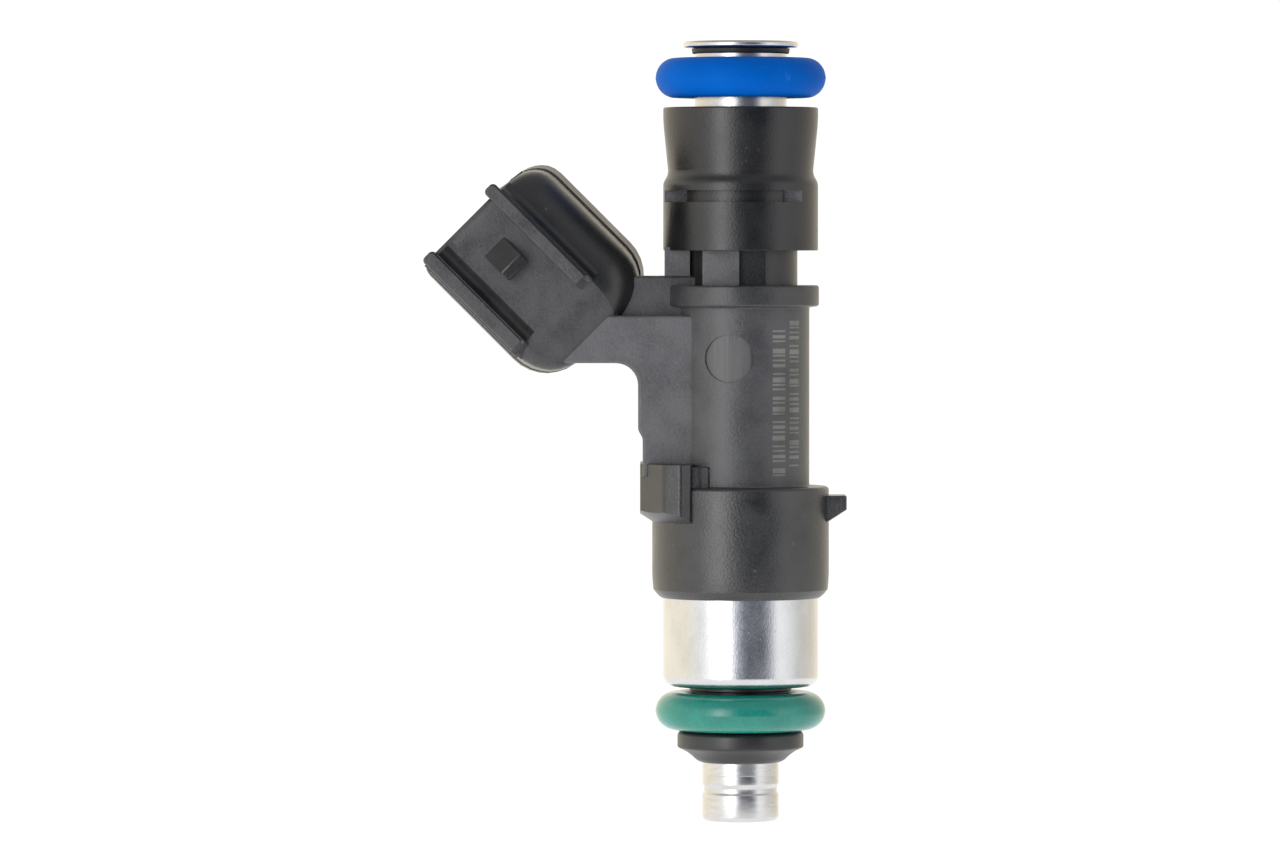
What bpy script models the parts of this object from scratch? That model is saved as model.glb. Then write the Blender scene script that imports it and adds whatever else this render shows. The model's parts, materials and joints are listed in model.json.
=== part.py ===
"""Port fuel injector as separate sub-parts. Metres, +Z up the injector's axis, connector towards -X.

The origin is the centre of the spray plate's outer face, on the injector's axis.
"""

import math

import bmesh
import bpy
from mathutils import Matrix, Vector

MM = 0.001
SEGMENTS = 48
GAP = 0.06  # clearance between neighbouring pieces, mm

# Levels along the axis, mm
NOZZLE_END_Z = -0.5
CARRIER_BOTTOM_Z = 4.5
CARRIER_LIP_BOTTOM_Z = 5.78
LOWER_GROOVE_Z = 7.2
LOWER_GROOVE_TOP_Z = 10.62
CAN_BOTTOM_Z = 11.0
CAN_TOP_Z = 25.4
CUP_BOTTOM_Z = 18.6
CUP_TOP_Z = 27.92
FLANGE_BOTTOM_Z = 43.6
FLANGE_TOP_Z = 45.21
CLIP_RING_BOTTOM_Z = 48.26
CLIP_RING_TOP_Z = 54.07
COLLAR_BOTTOM_Z = 54.76
COLLAR_TAPER_Z = 59.2
COLLAR_TOP_Z = 60.48
UPPER_SEAL_Z = 63.0
UPPER_SEAL_HEIGHT = 3.5
LOWER_SEAL_Z = 8.91
LOWER_SEAL_HEIGHT = 3.32
TUBE_TOP_Z = 66.12

# Radii, mm
SLEEVE_R = 3.27
SLEEVE_BORE_R = 2.87
CARRIER_R = 5.4
LOWER_GROOVE_R = 3.85
CARRIER_COLLAR_R = 4.36
SEAL_R = 7.28
SEAL_BORE_R = 3.98
CAN_R = 6.65
CAN_BORE_R = 6.05
CUP_R = 7.56
BARREL_R = 5.89
FLANGE_R = 6.7
RECESS_R = 4.85
CLIP_RING_R = 6.62
COLLAR_NECK_R = 6.17
INLET_R = 3.93
INLET_BORE_R = 3.53
INLET_LOWER_R = 3.27
TOP_FLANGE_R = 4.94

# Connector: its own frame has U towards its mouth and V across it
CONNECTOR_DIR = Vector((-math.sqrt(0.5), 0, math.sqrt(0.5)))
CONNECTOR_ACROSS = Vector((math.sqrt(0.5), 0, math.sqrt(0.5)))
CONNECTOR_MOUTH = Vector((-22.39, 0.0, 51.67))
CONNECTOR_LENGTH = 13.9
CONNECTOR_HALF_WIDTH = 7.05
CONNECTOR_HALF_DEPTH = 5.3
SOCKET_DEPTH = 10.2
SOCKET_WALL = 1.3
TERMINAL_PITCH = 5.0
BLADE_WIDTH = 1.5
BLADE_TIP = 4.5
BLADE_THICKNESS = 0.64
LEAD_HALF_WIDTH = 0.35

# Web plate between the connector and the barrel
WEB_HALF_DEPTH = 4.1
STRUT_HALF_DEPTH = 2.9

# Valve
SEAT_CONE_Z = 0.9
BALL_R = 1.5
BALL_Z = SEAT_CONE_Z + 1.664
ARMATURE_TOP_Z = 16.4
VALVE_LIFT = 0.1


def clear_scene():
    for thing in list(bpy.data.objects):
        bpy.data.objects.remove(thing, do_unlink=True)


def plain_material(name, colour, metallic, roughness):
    material = bpy.data.materials.new(name)
    material.use_nodes = True
    shader = material.node_tree.nodes["Principled BSDF"]
    shader.inputs["Base Color"].default_value = (*colour, 1.0)
    shader.inputs["Metallic"].default_value = metallic
    shader.inputs["Roughness"].default_value = roughness
    return material


def new_object(name, bm, material=None, smooth=True):
    """Takes a bmesh in millimetres, writes it as an object in metres."""
    bmesh.ops.recalc_face_normals(bm, faces=bm.faces[:])
    if bm.calc_volume(signed=True) < 0:
        bmesh.ops.reverse_faces(bm, faces=bm.faces[:])
    bmesh.ops.scale(bm, vec=(MM, MM, MM), verts=bm.verts[:])
    mesh = bpy.data.meshes.new(name)
    bm.to_mesh(mesh)
    bm.free()
    thing = bpy.data.objects.new(name, mesh)
    bpy.context.scene.collection.objects.link(thing)
    if material is not None:
        mesh.materials.append(material)
    if smooth:
        mesh.shade_smooth()
        mesh.set_sharp_from_angle(angle=math.radians(35))
    return thing


def lathe(name, profile, material=None, segments=SEGMENTS, phase=0.0):
    """A closed profile of (radius, z) points turned about Z. Points at radius 0 become poles."""
    bm = bmesh.new()
    rings = []
    for radius, z in profile:
        if radius <= 0:
            rings.append([bm.verts.new((0, 0, z))])
            continue
        ring = []
        for step in range(segments):
            turn = 2 * math.pi * step / segments + phase
            ring.append(bm.verts.new((radius * math.cos(turn), radius * math.sin(turn), z)))
        rings.append(ring)
    for first, second in zip(rings, rings[1:] + rings[:1]):
        if len(first) == 1 and len(second) == 1:
            continue
        for step in range(segments):
            after = (step + 1) % segments
            corners = [first[step % len(first)], first[after % len(first)]]
            corners += [second[after % len(second)], second[step % len(second)]]
            corners = list(dict.fromkeys(corners))
            bm.faces.new(corners)
    return new_object(name, bm, material)


def prism(name, outline, origin, x_axis, y_axis, depth, material=None, bevel=0.0, smooth=False):
    """An outline in the plane of x_axis and y_axis, pushed out along their normal by depth both ways."""
    x_axis = Vector(x_axis)
    y_axis = Vector(y_axis)
    normal = x_axis.cross(y_axis)
    bm = bmesh.new()
    base = []
    for x, y in outline:
        base.append(bm.verts.new(Vector(origin) + x * x_axis + y * y_axis - depth * normal))
    face = bm.faces.new(base)
    pushed = bmesh.ops.extrude_face_region(bm, geom=[face])
    moved = [item for item in pushed["geom"] if isinstance(item, bmesh.types.BMVert)]
    bmesh.ops.translate(bm, vec=2 * depth * normal, verts=moved)
    if bevel:
        edges = [edge for edge in bm.edges if edge.calc_face_angle(0) > 0.3]
        bmesh.ops.bevel(
            bm,
            geom=edges,
            offset=bevel,
            segments=1,
            profile=0.5,
            affect="EDGES",
            clamp_overlap=True,
        )
    return new_object(name, bm, material, smooth)


def box(name, low, high):
    """A box between two corners, mm."""
    middle = (Vector(low) + Vector(high)) / 2
    half = (Vector(high) - Vector(low)) / 2
    outline = [(-half.x, -half.y), (half.x, -half.y), (half.x, half.y), (-half.x, half.y)]
    return prism(name, outline, middle, (1, 0, 0), (0, 1, 0), half.z)


def rounded_outline(corners, steps=4):
    """Corners as (x, y, radius), each rounded with an arc of steps spans."""
    points = []
    count = len(corners)
    for index, (x, y, radius) in enumerate(corners):
        here = Vector((x, y))
        before = Vector(corners[index - 1][:2]) - here
        after = Vector(corners[(index + 1) % count][:2]) - here
        if radius <= 0:
            points.append((x, y))
            continue
        before.normalize()
        after.normalize()
        half_angle = before.angle(after) / 2
        back = radius / math.tan(half_angle)
        centre = here + (before + after).normalized() * radius / math.sin(half_angle)
        start = here + before * back - centre
        end = here + after * back - centre
        sweep = start.angle_signed(end)
        for step in range(steps + 1):
            turned = start.copy()
            turned.rotate(Matrix.Rotation(-sweep * step / steps, 2))
            points.append(tuple(centre + turned))
    return points


def combine(target, tool, operation):
    modifier = target.modifiers.new(operation.lower() + "_" + tool.name, "BOOLEAN")
    modifier.operation = operation
    modifier.solver = "EXACT"
    modifier.object = tool
    tool.hide_render = True
    tool.display_type = "WIRE"


def join(target, tool):
    combine(target, tool, "UNION")


def cut(target, tool):
    combine(target, tool, "DIFFERENCE")


def arc(centre_r, centre_z, radius_r, radius_z, start, end, steps):
    """Points of an elliptical arc in the (radius, z) plane, angles in degrees."""
    points = []
    for step in range(steps + 1):
        angle = math.radians(start + (end - start) * step / steps)
        points.append((centre_r + radius_r * math.cos(angle), centre_z + radius_z * math.sin(angle)))
    return points


def make_inlet_tube():
    steel = plain_material("inlet_steel", (0.72, 0.71, 0.67), 1.0, 0.22)
    lip = arc(TOP_FLANGE_R - 0.28, TUBE_TOP_Z - 0.28, 0.28, 0.28, 90, -90, 4)
    profile = [(INLET_BORE_R + 0.35, TUBE_TOP_Z)] + lip
    profile += [
        (INLET_R, TUBE_TOP_Z - 0.56),
        (INLET_R, 54.1),
        (INLET_LOWER_R, 52.6),
        (INLET_LOWER_R, 29.16),
        (SLEEVE_BORE_R, 29.16),
        (SLEEVE_BORE_R, 52.5),
        (INLET_BORE_R, 54.0),
        (INLET_BORE_R, TUBE_TOP_Z - 0.35),
    ]
    lathe("inlet_tube", profile, steel)


def make_upper_support_ring():
    plastic = plain_material("support_ring_plastic", (0.02, 0.02, 0.025), 0.0, 0.5)
    top = TUBE_TOP_Z - 0.56 - GAP
    profile = [
        (INLET_R + 0.03, top),
        (4.2, top),
        (INLET_R + 0.2, top - 0.45),
        (INLET_R + 0.03, top - 0.45),
    ]
    lathe("upper_support_ring", profile, plastic)


def make_seal(name, centre_z, height, bore_r, colour):
    rubber = plain_material(name + "_rubber", colour, 0.0, 0.35)
    half_width = (SEAL_R - bore_r) / 2
    ring = arc(bore_r + half_width, centre_z, half_width, height / 2, 0, -360, 14)[:-1]
    lathe(name, ring, rubber)


def make_filter():
    """Strainer in the inlet tube: a moulded cage with a woven sleeve inside its windows."""
    frame_plastic = plain_material("filter_frame_plastic", (0.05, 0.05, 0.05), 0.0, 0.5)
    mesh_material = plain_material("filter_mesh_weave", (0.55, 0.56, 0.55), 0.2, 0.6)
    ring_r = INLET_BORE_R - GAP
    profile = [
        (ring_r, 61.0),
        (ring_r, 58.4),
        (2.75, 57.2),
        (2.75, 46.4),
        (0, 46.4),
        (0, 47.1),
        (2.5, 47.1),
        (2.5, 58.0),
        (2.7, 59.0),
        (2.7, 61.0),
    ]
    frame = lathe("filter_frame", profile, frame_plastic, 24)
    for number, turn in enumerate((0, 90)):
        window = box(f"filter_window_{number}", (-4, -1.5, 47.8), (4, 1.5, 57.0))
        window.rotation_euler.z = math.radians(turn)
        cut(frame, window)
    weave = [(2.44, 47.2), (2.44, 57.8), (2.3, 57.8), (2.3, 47.2)]
    lathe("filter_mesh", weave, mesh_material, 24)


def make_adjusting_sleeve():
    steel = plain_material("adjusting_sleeve_steel", (0.6, 0.6, 0.58), 1.0, 0.35)
    profile = [(1.69, 25.2), (1.69, 30.8), (1.55, 31.0), (0.95, 31.0), (0.95, 25.2)]
    sleeve = lathe("adjusting_sleeve", profile, steel, 24)
    cut(sleeve, box("adjusting_slit", (0, -0.15, 24), (4, 0.15, 32)))


def make_return_spring():
    """A coil with its ends closed flat against the neighbouring coil."""
    wire = plain_material("spring_wire", (0.55, 0.55, 0.55), 1.0, 0.3)
    low, high = 15.56, 24.94
    mean_r, wire_r, coils, dead = 1.3, 0.2, 10, 1.0
    steps = coils * 14
    sides = 6
    bm = bmesh.new()
    rings = []
    for step in range(steps + 1):
        turns = coils * step / steps
        live = min(max(turns - dead, 0.0), coils - 2 * dead) / (coils - 2 * dead)
        flat_pitch = 2 * wire_r + 0.03
        z = low + flat_pitch * min(turns, dead)
        z += live * (high - low - 2 * flat_pitch * dead)
        z += flat_pitch * max(turns - (coils - dead), 0.0)
        turn = 2 * math.pi * turns
        ring = []
        for side in range(sides):
            around = 2 * math.pi * side / sides
            radius = mean_r + wire_r * math.cos(around)
            height = z + wire_r * math.sin(around)
            ring.append(bm.verts.new((radius * math.cos(turn), radius * math.sin(turn), height)))
        rings.append(ring)
    for first, second in zip(rings, rings[1:]):
        for side in range(sides):
            after = (side + 1) % sides
            bm.faces.new((first[side], first[after], second[after], second[side]))
    bm.faces.new(rings[0])
    bm.faces.new(rings[-1])
    new_object("return_spring", bm, wire)


def make_pole_core():
    steel = plain_material("pole_core_steel", (0.5, 0.5, 0.5), 1.0, 0.4)
    profile = [
        (SLEEVE_BORE_R - GAP, ARMATURE_TOP_Z + VALVE_LIFT + 0.05),
        (SLEEVE_BORE_R - GAP, 31.6),
        (1.75, 31.6),
        (1.75, ARMATURE_TOP_Z + VALVE_LIFT + 0.05),
    ]
    lathe("pole_core", profile, steel)


def make_valve_sleeve():
    steel = plain_material("sleeve_steel", (0.75, 0.75, 0.74), 1.0, 0.2)
    rim = arc(SLEEVE_R - 0.35, NOZZLE_END_Z + 0.35, 0.35, 0.35, -90, 0, 3)
    profile = [(2.45, NOZZLE_END_Z)] + rim
    profile += [
        (SLEEVE_R, 1.85),
        (SLEEVE_R - 0.05, 1.9),
        (SLEEVE_R - 0.05, 2.53),
        (SLEEVE_R, 2.58),
        (SLEEVE_R, 29.1),
        (SLEEVE_BORE_R, 29.1),
        (SLEEVE_BORE_R, -0.04),
        (2.45, -0.04),
    ]
    lathe("valve_sleeve", profile, steel)


def make_housing_can():
    steel = plain_material("can_steel", (0.78, 0.77, 0.75), 1.0, 0.15)
    corner = arc(CAN_R - 1.0, CAN_BOTTOM_Z + 1.0, 1.0, 1.0, 0, -90, 4)
    profile = [(CAN_R, CAN_TOP_Z)] + corner
    profile += [
        (SLEEVE_R + GAP, CAN_BOTTOM_Z),
        (SLEEVE_R + GAP, CAN_BOTTOM_Z + 0.8),
        (CAN_BORE_R, CAN_BOTTOM_Z + 0.8),
        (CAN_BORE_R, CAN_TOP_Z),
    ]
    lathe("housing_can", profile, steel)


def make_flux_washer():
    steel = plain_material("washer_steel", (0.5, 0.5, 0.5), 1.0, 0.4)
    profile = [
        (CAN_BORE_R - GAP, 24.7),
        (CAN_BORE_R - GAP, CAN_TOP_Z),
        (SLEEVE_R + GAP, CAN_TOP_Z),
        (SLEEVE_R + GAP, 24.7),
    ]
    washer = lathe("flux_washer", profile, steel)
    cut(washer, box("washer_notch", (-7, -1.6, 24), (-4.0, 1.6, 26)))


def make_coil():
    bobbin_plastic = plain_material("bobbin_plastic", (0.06, 0.05, 0.05), 0.0, 0.5)
    copper = plain_material("copper_wire", (0.62, 0.24, 0.09), 1.0, 0.35)
    flange_r = CAN_BORE_R - 0.1
    profile = [
        (SLEEVE_R + GAP, 11.9),
        (flange_r, 11.9),
        (flange_r, 12.7),
        (3.95, 12.7),
        (3.95, 23.8),
        (flange_r, 23.8),
        (flange_r, 24.6),
        (SLEEVE_R + GAP, 24.6),
    ]
    bobbin = lathe("coil_bobbin", profile, bobbin_plastic)
    join(bobbin, box("bobbin_tower", (-5.75, -1.4, 24.2), (-4.25, 1.4, 26.4)))
    winding = [(4.0, 12.8), (5.6, 12.8), (5.6, 23.7), (4.0, 23.7)]
    lathe("coil_winding", winding, copper)


def make_seal_carrier():
    plastic = plain_material("carrier_plastic", (0.03, 0.03, 0.032), 0.0, 0.4)
    bore = SLEEVE_R + GAP
    profile = [
        (bore, CARRIER_BOTTOM_Z),
        (CARRIER_R, CARRIER_LIP_BOTTOM_Z),
        (CARRIER_R, LOWER_GROOVE_Z - 0.25),
        (CARRIER_R - 0.25, LOWER_GROOVE_Z),
        (LOWER_GROOVE_R, LOWER_GROOVE_Z),
        (LOWER_GROOVE_R, LOWER_GROOVE_TOP_Z),
        (CARRIER_COLLAR_R, LOWER_GROOVE_TOP_Z),
        (CARRIER_COLLAR_R, CAN_BOTTOM_Z - GAP),
        (bore, CAN_BOTTOM_Z - GAP),
    ]
    lathe("seal_carrier", profile, plastic)


def make_valve_seat():
    steel = plain_material("seat_steel", (0.7, 0.7, 0.7), 1.0, 0.25)
    outer = SLEEVE_BORE_R - GAP
    profile = [
        (outer, 0.36),
        (outer, 3.6),
        (2.2, 4.2),
        (1.9, 4.2),
        (1.62, 3.8),
        (1.62, SEAT_CONE_Z + 1.12),
        (0.5, SEAT_CONE_Z),
        (0.5, 0.36),
    ]
    lathe("valve_seat", profile, steel)


def make_spray_plate():
    steel = plain_material("plate_steel", (0.7, 0.7, 0.7), 1.0, 0.3)
    profile = [
        (0, 0),
        (2.35, 0),
        (2.35, 0.05),
        (SLEEVE_BORE_R - GAP, 0.05),
        (SLEEVE_BORE_R - GAP, 0.3),
        (0, 0.3),
    ]
    plate = lathe("spray_plate", profile, steel)
    for number in range(4):
        turn = math.radians(45 + 90 * number)
        drill = lathe(f"spray_hole_{number}", [(0, -1), (0.12, -1), (0.12, 1), (0, 1)], None, 10)
        drill.location = (0.35 * math.cos(turn) * MM, 0.35 * math.sin(turn) * MM, 0)
        cut(plate, drill)


def make_armature():
    steel = plain_material("armature_steel", (0.5, 0.5, 0.5), 1.0, 0.35)
    profile = [
        (2.75, 12.9),
        (2.8, 13.1),
        (2.8, ARMATURE_TOP_Z - 0.2),
        (2.75, ARMATURE_TOP_Z),
        (1.75, ARMATURE_TOP_Z),
        (1.75, 15.3),
        (1.06, 15.3),
        (1.06, 12.9),
    ]
    lathe("armature", profile, steel)


def make_needle_tube():
    steel = plain_material("needle_steel", (0.6, 0.6, 0.6), 1.0, 0.3)
    low = BALL_Z + 1.386
    profile = [(1.0, low), (1.0, 15.3), (0.65, 15.3), (0.65, low)]
    tube = lathe("needle_tube", profile, steel, 24)
    for number, (z, turn) in enumerate(((6.5, 0), (11.0, 90))):
        port = lathe(f"needle_port_{number}", [(0, -3), (0.3, -3), (0.3, 3), (0, 3)], None, 12)
        port.rotation_euler = (math.radians(90), 0, math.radians(turn))
        port.location.z = z * MM
        cut(tube, port)


def make_valve_ball():
    steel = plain_material("ball_steel", (0.75, 0.75, 0.75), 1.0, 0.1)
    profile = [(0, BALL_Z - BALL_R)]
    profile += arc(0, BALL_Z, BALL_R, BALL_R, -90, 90, 12)[1:-1]
    profile += [(0, BALL_Z + BALL_R)]
    lathe("valve_ball", profile, steel, 24)


def connector_point(along, across, depth=0.0):
    """A point in the connector's frame: along is measured back from the mouth."""
    return CONNECTOR_MOUTH - along * CONNECTOR_DIR + across * CONNECTOR_ACROSS + Vector((0, depth, 0))


def make_connector_block(name):
    """The connector's outer block: a rounded section, domed at its back end."""
    outline = rounded_outline(
        [
            (-CONNECTOR_HALF_WIDTH, -CONNECTOR_HALF_DEPTH, 1.2),
            (CONNECTOR_HALF_WIDTH, -CONNECTOR_HALF_DEPTH, 4.2),
            (CONNECTOR_HALF_WIDTH, CONNECTOR_HALF_DEPTH, 3.4),
            (-CONNECTOR_HALF_WIDTH, CONNECTOR_HALF_DEPTH, 3.4),
        ]
    )
    stations = [
        (0.0, 0.7),
        (0.35, 0.2),
        (1.0, 0.0),
        (CONNECTOR_LENGTH - 3.2, 0.0),
        (CONNECTOR_LENGTH - 1.6, 0.45),
        (CONNECTOR_LENGTH - 0.5, 1.5),
        (CONNECTOR_LENGTH, 3.0),
    ]
    bm = bmesh.new()
    rings = []
    for along, inset in stations:
        shrink_v = (CONNECTOR_HALF_WIDTH - inset) / CONNECTOR_HALF_WIDTH
        shrink_y = (CONNECTOR_HALF_DEPTH - inset * 0.8) / CONNECTOR_HALF_DEPTH
        ring = []
        for across, depth in outline:
            ring.append(bm.verts.new(connector_point(along, across * shrink_v, depth * shrink_y)))
        rings.append(ring)
    for first, second in zip(rings, rings[1:]):
        for index in range(len(first)):
            after = (index + 1) % len(first)
            bm.faces.new((first[index], first[after], second[after], second[index]))
    bm.faces.new(rings[0])
    bm.faces.new(rings[-1])
    return new_object(name, bm)


def connector_box(name, along, across, depth, bevel=0.0):
    """A box in the connector's frame, each argument a (low, high) pair."""
    middle = connector_point(sum(along) / 2, sum(across) / 2, sum(depth) / 2)
    half_u = (along[1] - along[0]) / 2
    half_v = (across[1] - across[0]) / 2
    half_w = (depth[1] - depth[0]) / 2
    outline = [(-half_u, -half_v), (half_u, -half_v), (half_u, half_v), (-half_u, half_v)]
    return prism(name, outline, middle, CONNECTOR_DIR, CONNECTOR_ACROSS, half_w, bevel=bevel)


def make_terminals():
    """Blade in the connector, then a strip down through the moulding to the coil's tower."""
    tin = plain_material("terminal_tin", (0.72, 0.72, 0.7), 1.0, 0.3)
    for name, side in (("terminal_a", 1), ("terminal_b", -1)):
        across = side * TERMINAL_PITCH / 2
        blade = connector_box(
            name,
            (BLADE_TIP, 12.9),
            (across - BLADE_WIDTH / 2, across + BLADE_WIDTH / 2),
            (-BLADE_THICKNESS / 2, BLADE_THICKNESS / 2),
        )
        blade.data.materials.append(tin)
        join(blade, terminal_lead(name + "_lead", side, 0.0))


def terminal_lead(name, side, grow):
    """The strip behind a blade, lying in the web's middle plane, grown on every side by grow."""
    start = connector_point(12.0, side * TERMINAL_PITCH / 2)
    level = 42.2 if side > 0 else 40.2
    column_x = -4.3 if side > 0 else -5.4
    fall = start.z - level
    path = [
        start.xz,
        Vector((start.x + fall, level)),
        Vector((column_x, level)),
        Vector((column_x, 26.6 - grow)),
    ]
    width = LEAD_HALF_WIDTH + grow
    left = []
    right = []
    for index, point in enumerate(path):
        arriving = (point - path[index - 1]).normalized() if index else None
        leaving = (path[index + 1] - point).normalized() if index < len(path) - 1 else None
        tangent = ((arriving or leaving) + (leaving or arriving)).normalized()
        stretch = width / tangent.dot(arriving or leaving)
        sideways = Vector((-tangent.y, tangent.x))
        left.append(tuple(point + sideways * stretch))
        right.append(tuple(point - sideways * stretch))
    outline = left + right[::-1]
    return prism(name, outline, (0, 0, 0), (1, 0, 0), (0, 0, 1), BLADE_THICKNESS / 2 + grow)


def barrel_profile():
    """Half section of the moulding's turned body, before it is bored."""
    outer = [
        (CLIP_RING_R - 0.25, COLLAR_TOP_Z),
        (CLIP_RING_R, COLLAR_TOP_Z - 0.3),
        (CLIP_RING_R, COLLAR_TAPER_Z),
        (COLLAR_NECK_R, COLLAR_BOTTOM_Z),
        (CLIP_RING_R - 0.2, CLIP_RING_TOP_Z + 0.28),
        (CLIP_RING_R, CLIP_RING_TOP_Z - 0.1),
        (CLIP_RING_R, CLIP_RING_BOTTOM_Z),
        (RECESS_R, CLIP_RING_BOTTOM_Z),
        (RECESS_R, FLANGE_TOP_Z),
        (FLANGE_R - 0.25, FLANGE_TOP_Z),
        (FLANGE_R, FLANGE_TOP_Z - 0.3),
        (FLANGE_R, FLANGE_BOTTOM_Z + 0.3),
        (FLANGE_R - 0.25, FLANGE_BOTTOM_Z),
        (BARREL_R, FLANGE_BOTTOM_Z - 0.25),
        (BARREL_R, CUP_TOP_Z),
        (CUP_R - 0.3, CUP_TOP_Z),
        (CUP_R, CUP_TOP_Z - 0.3),
        (CUP_R, 20.4),
        (CUP_R - 0.12, 19.3),
        (CUP_R - 0.7, CUP_BOTTOM_Z),
    ]
    return [(0, COLLAR_TOP_Z)] + outer + [(0, CUP_BOTTOM_Z)]


def add_clip_ring_details(body):
    """The retaining clip's slot in the ring, and the blocks and flats in the recess below it."""
    section = [(5.75, 52.39), (8.0, 52.39), (8.0, 53.39), (5.75, 53.39)]
    slot = lathe("clip_slot", section, None, SEGMENTS, 0.03)
    cut(slot, box("clip_slot_right", (5.16, -9, 52), (9, 9, 54)))
    cut(slot, box("clip_slot_left", (-9, -9, 52), (-4.64, 9, 54)))
    cut(body, slot)
    for side, name in ((-1, "front"), (1, "back")):
        near, far = sorted((side * 4.45, side * 6.0))
        bottom = (-0.6, near, FLANGE_TOP_Z + 0.03)
        top = (3.97, far, CLIP_RING_BOTTOM_Z - 0.03)
        cut(body, box(f"recess_flat_{name}", bottom, top))
    low, high = FLANGE_TOP_Z - 0.3, CLIP_RING_BOTTOM_Z + 0.3
    join(body, box("recess_left_block", (-6.5, -2.6, low), (-4.35, 2.6, high)))
    join(body, box("recess_pads", (-3.3, -5.3, low), (-0.18, 5.3, high)))


def web_outline():
    return rounded_outline(
        [
            (-3.0, 43.2, 0),
            (-13.4, 43.2, 0),
            (-19.0, 38.69, 0),
            (-8.77, 38.69, 1.9),
            (-8.77, 33.0, 0),
            (-8.38, 32.3, 0),
            (-8.38, 28.5, 0),
            (-3.0, 28.5, 0),
        ]
    )


def strut_outline():
    return [(-3.0, 46.1), (-10.2, 46.1), (-13.0, 43.5), (-13.0, 42.0), (-3.0, 42.0)]


def add_cup_details(body):
    """The faceted cable block on the cup's left and the small lug on its right, undercut by a cone."""
    half = [(-8.6, 3.2), (-6.6, 6.2), (-5.2, 6.9), (-4.05, 6.3), (-3.7, 5.2)]
    outline = [(x, -y) for x, y in half] + half[::-1]
    block = prism("cable_block", outline, (0, 0, 27.4), (1, 0, 0), (0, 1, 0), 2.8)
    step = [(-4.4, -5.7), (-3.3, -5.7), (-2.7, -5.3), (-2.7, 5.3), (-3.3, 5.7), (-4.4, 5.7)]
    join(body, prism("block_step", step, (0, 0, 28.8), (1, 0, 0), (0, 1, 0), 1.15))
    lug = box("right_lug", (6.4, -2.0, 24.6), (9.04, 2.0, 27.35))
    section = [(7.2, 24), (7.2, 24.87), (12, 28.0), (12, 24)]
    undercut = lathe("block_undercut", section, None, SEGMENTS, 0.03)
    cut(block, undercut)
    cut(lug, undercut)
    join(body, block)
    join(body, lug)


def add_connector(body):
    """The plug's shroud with its two rails and lock ramp, hollow from its mouth."""
    join(body, make_connector_block("connector_block"))
    front = -CONNECTOR_HALF_DEPTH
    for name, low, high, start, end in (
        ("rail_lower", -6.43, -5.03, -0.35, 10.4),
        ("rail_upper", 1.55, 2.75, -0.75, 10.3),
    ):
        rail = connector_box(name, (start, end), (low, high), (front - 1.3, front + 1.5), 0.2)
        join(body, rail)
    ramp = prism(
        "lock_ramp",
        [(-3.2, 0.0), (-6.15, -1.1), (-6.15, 1.0), (-3.2, 1.0)],
        connector_point(0, -1.15, front),
        CONNECTOR_DIR,
        (0, 1, 0),
        1.17,
    )
    join(body, ramp)
    wall = SOCKET_WALL
    half_v = CONNECTOR_HALF_WIDTH - wall
    half_w = CONNECTOR_HALF_DEPTH - wall
    outline = rounded_outline(
        [(-half_v, -half_w, 1.0), (half_v, -half_w, 3.0), (half_v, half_w, 2.3), (-half_v, half_w, 2.3)],
        3,
    )
    socket = prism(
        "connector_socket",
        outline,
        connector_point((SOCKET_DEPTH - 2) / 2, 0),
        CONNECTOR_ACROSS,
        (0, 1, 0),
        (SOCKET_DEPTH + 2) / 2,
    )
    cut(body, socket)


def make_overmould():
    nylon = plain_material("overmould_nylon", (0.035, 0.035, 0.038), 0.0, 0.55)
    body = lathe("overmould", barrel_profile(), nylon)
    web = prism("web_plate", web_outline(), (0, 0, 0), (1, 0, 0), (0, 0, 1), WEB_HALF_DEPTH)
    join(body, web)
    strut = prism("web_strut", strut_outline(), (0, 0, 0), (1, 0, 0), (0, 0, 1), STRUT_HALF_DEPTH)
    join(body, strut)
    add_clip_ring_details(body)
    add_cup_details(body)
    add_connector(body)
    bore = lathe(
        "overmould_bore",
        [
            (0, 10),
            (CAN_R + GAP, 10),
            (CAN_R + GAP, CAN_TOP_Z + 0.1),
            (INLET_LOWER_R + 0.08, CAN_TOP_Z + 0.1),
            (INLET_LOWER_R + 0.08, 52.6),
            (INLET_R + 0.08, 54.15),
            (INLET_R + 0.08, 62),
            (0, 62),
        ],
    )
    cut(body, bore)
    cut(body, box("tower_pocket", (-5.9, -2.5, 25.0), (-4.1, 2.5, 26.55)))
    disc = prism(
        "gate_recess",
        [(2.07 * math.cos(math.tau * n / 24), 2.07 * math.sin(math.tau * n / 24)) for n in range(24)],
        (-1.02, -BARREL_R, 39.1),
        (1, 0, 0),
        (0, 0, 1),
        0.35,
    )
    cut(body, disc)
    for side in (1, -1):
        slot = connector_box(
            f"blade_slot_{side}",
            (9.0, 13.0),
            (side * TERMINAL_PITCH / 2 - 0.85, side * TERMINAL_PITCH / 2 + 0.85),
            (-BLADE_THICKNESS / 2 - 0.1, BLADE_THICKNESS / 2 + 0.1),
        )
        cut(body, slot)
        cut(body, terminal_lead(f"lead_slot_{side}", side, 0.08))


clear_scene()
make_inlet_tube()
make_upper_support_ring()
make_seal("upper_o_ring", UPPER_SEAL_Z, UPPER_SEAL_HEIGHT, SEAL_BORE_R, (0.01, 0.13, 0.62))
make_filter()
make_adjusting_sleeve()
make_return_spring()
make_pole_core()
make_valve_sleeve()
make_housing_can()
make_flux_washer()
make_coil()
make_seal_carrier()
make_seal("lower_o_ring", LOWER_SEAL_Z, LOWER_SEAL_HEIGHT, LOWER_GROOVE_R + 0.07, (0.0, 0.2, 0.11))
make_valve_seat()
make_spray_plate()
make_armature()
make_needle_tube()
make_valve_ball()
make_terminals()
make_overmould()
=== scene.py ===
import json
import math

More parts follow.
